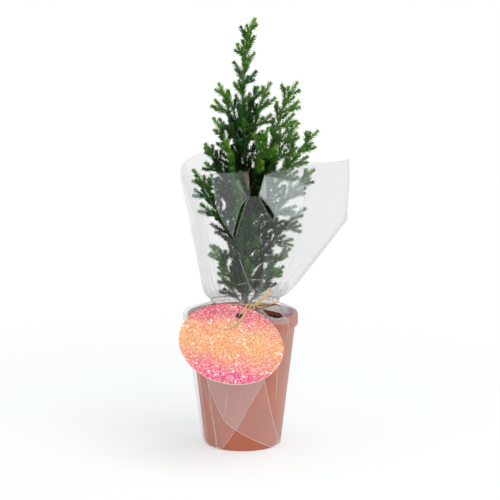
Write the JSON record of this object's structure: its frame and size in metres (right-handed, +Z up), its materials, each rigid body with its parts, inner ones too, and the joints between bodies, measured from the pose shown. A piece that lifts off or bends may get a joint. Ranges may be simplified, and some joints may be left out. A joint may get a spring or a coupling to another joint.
{
  "type": "potted conifer seedling in a film wrap",
  "caption": "Young upright conifer in a round tapered pot, wrapped in clear film that is gathered and tied above the rim, with a round card tag on the tie.",
  "frame": {"origin": "centre of the pot's flat underside, which is also the middle of the base mount", "axes": "+Z up along the pot's axis and the trunk; -Y towards the front, where the tag hangs; +X to the right of the front view, where the film's wing spreads"},
  "size_m": [0.1275, 0.1376, 0.3242],
  "materials": {
    "terracotta_plastic": "matte",
    "peat": "matte",
    "bark": "matte",
    "foliage": "matte",
    "clear_film": "gloss",
    "raffia": "matte",
    "printed_card": "satin",
    "dark_metal": "satin"
  },
  "bodies": {
    "root": {"bough_back_left": "bark", "bough_back_right": "bark", "bough_far_left": "bark", "bough_far_right": "bark", "bough_front_left": "bark", "bough_front_right": "bark", "bough_long_left": "bark", "bough_mid_left": "bark", "bough_mid_right": "bark", "bough_tall_right": "bark", "bough_under_right": "bark", "bough_wide_right": "bark", "eyelet": "dark_metal", "film_bag": "clear_film", "film_skirt": "clear_film", "foliage_back_left": "foliage", "foliage_back_low": "foliage", "foliage_back_right": "foliage", "foliage_crown_back": "foliage", "foliage_crown_front": "foliage", "foliage_crown_left": "foliage", "foliage_crown_right": "foliage", "foliage_far_left": "foliage", "foliage_far_right": "foliage", "foliage_foot_back": "foliage", "foliage_foot_front": "foliage", "foliage_foot_left": "foliage", "foliage_foot_right": "foliage", "foliage_front_left": "foliage", "foliage_front_low": "foliage", "foliage_front_mid": "foliage", "foliage_front_right": "foliage", "foliage_high_back": "foliage", "foliage_high_left": "foliage", "foliage_high_right": "foliage", "foliage_leader": "foliage", "foliage_long_left": "foliage", "foliage_low_left": "foliage", "foliage_low_right": "foliage", "foliage_mid_left": "foliage", "foliage_mid_right": "foliage", "foliage_tall_right": "foliage", "foliage_under_right": "foliage", "foliage_wide_right": "foliage", "pot": "terracotta_plastic", "raffia_band": "raffia", "raffia_end_long": "raffia", "raffia_end_short": "raffia", "raffia_knot": "raffia", "raffia_tag_tail": "raffia", "raffia_tag_tie": "raffia", "soil": "peat", "tag": "printed_card", "trunk": "bark"}
  },
  "joints": []
}
